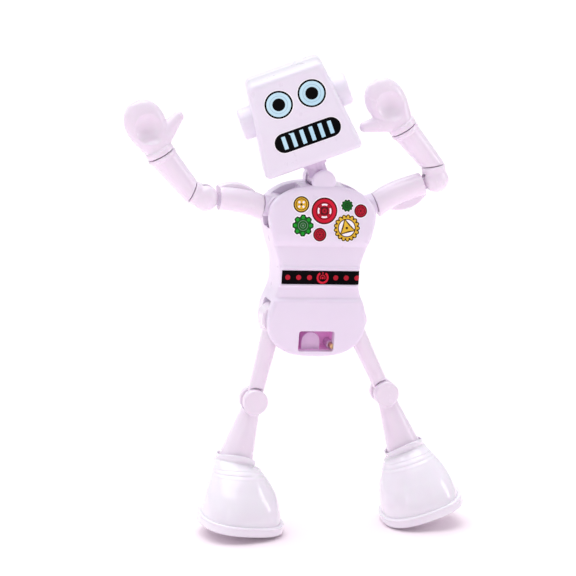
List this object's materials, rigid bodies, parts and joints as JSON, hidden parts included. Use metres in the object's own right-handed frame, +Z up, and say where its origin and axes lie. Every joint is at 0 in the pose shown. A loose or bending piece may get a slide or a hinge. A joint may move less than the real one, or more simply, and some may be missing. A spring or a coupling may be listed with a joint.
{
  "type": "poseable toy robot figure",
  "caption": "Poseable plastic robot figure with a box head, raised jointed arms, mitten hands, splayed jointed legs and big domed boots, standing in a waving pose",
  "frame": {"origin": "on the standing surface, at the middle of the bounding box", "axes": "+Z up; the face and toes look along -Y; +X is to the right of a viewer facing the robot"},
  "size_m": [0.1132, 0.033, 0.1587],
  "materials": {
    "white_plastic": "glossy moulded white plastic with a faint pink-lavender cast",
    "inner_plastic": "moulded plastic of the inner post",
    "belt_black": "black printed belt",
    "belt_red": "red print",
    "chest_print": "coloured gear prints in red, green and gold",
    "face_print": "black and pale blue printed eyes and mouth",
    "screw_brass": "plain brass",
    "pin_steel": "plain steel pins"
  },
  "bodies": {
    "torso": {"torso_front_shell": "white_plastic", "torso_back_shell": "white_plastic", "waist_belt": "belt_black", "belt_buckle": "belt_red", "belt_studs": "belt_red", "chest_gear_prints": "chest_print", "hip_core": "inner_plastic", "shell_screws": "screw_brass", "neck_pin": "pin_steel", "shoulder_pin_left": "pin_steel", "shoulder_pin_right": "pin_steel", "hip_pin_left": "pin_steel", "hip_pin_right": "pin_steel"},
    "neck": {"neck_post": "white_plastic"},
    "head": {"head_front_shell": "white_plastic", "head_back_shell": "white_plastic", "ear_left": "white_plastic", "ear_right": "white_plastic", "eye_print_left": "face_print", "eye_print_right": "face_print", "mouth_print": "face_print"},
    "shoulder_left": {"shoulder_hub_left": "white_plastic"},
    "upper_arm_left": {"upper_arm_front_left": "white_plastic", "upper_arm_rear_left": "white_plastic", "elbow_tongue_left": "white_plastic", "elbow_pin_left": "pin_steel"},
    "elbow_left": {"elbow_ball_left": "white_plastic"},
    "forearm_left": {"forearm_left": "white_plastic"},
    "hand_left": {"hand_left": "white_plastic"},
    "thigh_left": {"upper_leg_left": "white_plastic", "knee_pin_left": "pin_steel"},
    "shin_left": {"lower_leg_left": "white_plastic"},
    "boot_left": {"boot_upper_left": "white_plastic", "boot_sole_left": "white_plastic"},
    "shoulder_right": {"shoulder_hub_right": "white_plastic"},
    "upper_arm_right": {"upper_arm_front_right": "white_plastic", "upper_arm_rear_right": "white_plastic", "elbow_tongue_right": "white_plastic", "elbow_pin_right": "pin_steel"},
    "elbow_right": {"elbow_ball_right": "white_plastic"},
    "forearm_right": {"forearm_right": "white_plastic"},
    "hand_right": {"hand_right": "white_plastic"},
    "thigh_right": {"upper_leg_right": "white_plastic", "knee_pin_right": "pin_steel"},
    "shin_right": {"lower_leg_right": "white_plastic"},
    "boot_right": {"boot_upper_right": "white_plastic", "boot_sole_right": "white_plastic"}
  },
  "joints": [
    {"name": "neck_tilt", "type": "hinge", "parent": "torso", "child": "neck", "pos_m": [0.00932, 0.00548, 0.11735], "axis": [0, 1, 0], "range_deg": [-10, 3]},
    {"name": "head_turn", "type": "hinge", "parent": "neck", "child": "head", "pos_m": [0.00932, 0.00548, 0.11735], "axis": [-0.3338, 0, 0.9426], "range_deg": [-8, 20]},
    {"name": "shoulder_swing_left", "type": "hinge", "parent": "torso", "child": "shoulder_left", "pos_m": [-0.0055, 0.00548, 0.10901], "axis": [0, 1, 0], "range_deg": [-30, 25]},
    {"name": "arm_twist_left", "type": "hinge", "parent": "shoulder_left", "child": "upper_arm_left", "pos_m": [-0.0055, 0.00548, 0.10901], "axis": [-0.986, 0, 0.1668], "range_deg": [-45, 45]},
    {"name": "elbow_bend_left", "type": "hinge", "parent": "upper_arm_left", "child": "elbow_left", "pos_m": [-0.02995, 0.00548, 0.11315], "axis": [0, -1, 0], "range_deg": [-34, 17]},
    {"name": "forearm_swivel_left", "type": "hinge", "parent": "elbow_left", "child": "forearm_left", "pos_m": [-0.02995, 0.00548, 0.11315], "axis": [-0.9041, 0, 0.4274], "range_deg": [-60, 60]},
    {"name": "wrist_turn_left", "type": "hinge", "parent": "forearm_left", "child": "hand_left", "pos_m": [-0.04441, 0.00548, 0.12798], "axis": [-0.4741, 0, 0.8805], "range_deg": [-90, 90]},
    {"name": "hip_swing_left", "type": "hinge", "parent": "torso", "child": "thigh_left", "pos_m": [-0.00642, 0.00548, 0.0716], "axis": [0, -1, 0], "range_deg": [-25, 10]},
    {"name": "knee_bend_left", "type": "hinge", "parent": "thigh_left", "child": "shin_left", "pos_m": [-0.01373, 0.00548, 0.04354], "axis": [0, -1, 0], "range_deg": [-20, 20]},
    {"name": "ankle_twist_left", "type": "hinge", "parent": "shin_left", "child": "boot_left", "pos_m": [-0.01976, 0.00548, 0.02416], "axis": [0.2974, 0, 0.9548], "range_deg": [-30, 30]},
    {"name": "shoulder_swing_right", "type": "hinge", "parent": "torso", "child": "shoulder_right", "pos_m": [0.02305, 0.00548, 0.10732], "axis": [0, -1, 0], "range_deg": [-30, 2]},
    {"name": "arm_twist_right", "type": "hinge", "parent": "shoulder_right", "child": "upper_arm_right", "pos_m": [0.02305, 0.00548, 0.10732], "axis": [0.9461, 0, 0.3239], "range_deg": [-45, 45]},
    {"name": "elbow_bend_right", "type": "hinge", "parent": "upper_arm_right", "child": "elbow_right", "pos_m": [0.04888, 0.00548, 0.11616], "axis": [0, 1, 0], "range_deg": [-1, 70]},
    {"name": "forearm_swivel_right", "type": "hinge", "parent": "elbow_right", "child": "forearm_right", "pos_m": [0.04888, 0.00548, 0.11616], "axis": [-0.153, 0, 0.9882], "range_deg": [-60, 60]},
    {"name": "wrist_turn_right", "type": "hinge", "parent": "forearm_right", "child": "hand_right", "pos_m": [0.03785, 0.00548, 0.13354], "axis": [-0.524, 0, 0.8517], "range_deg": [-90, 90]},
    {"name": "hip_swing_right", "type": "hinge", "parent": "torso", "child": "thigh_right", "pos_m": [0.01954, 0.00548, 0.07006], "axis": [0, -1, 0], "range_deg": [-15, 15]},
    {"name": "knee_bend_right", "type": "hinge", "parent": "thigh_right", "child": "shin_right", "pos_m": [0.0317, 0.00548, 0.04373], "axis": [0, -1, 0], "range_deg": [-20, 20]},
    {"name": "ankle_twist_right", "type": "hinge", "parent": "shin_right", "child": "boot_right", "pos_m": [0.03861, 0.00548, 0.02465], "axis": [-0.3404, 0, 0.9403], "range_deg": [-30, 30]}
  ]
}
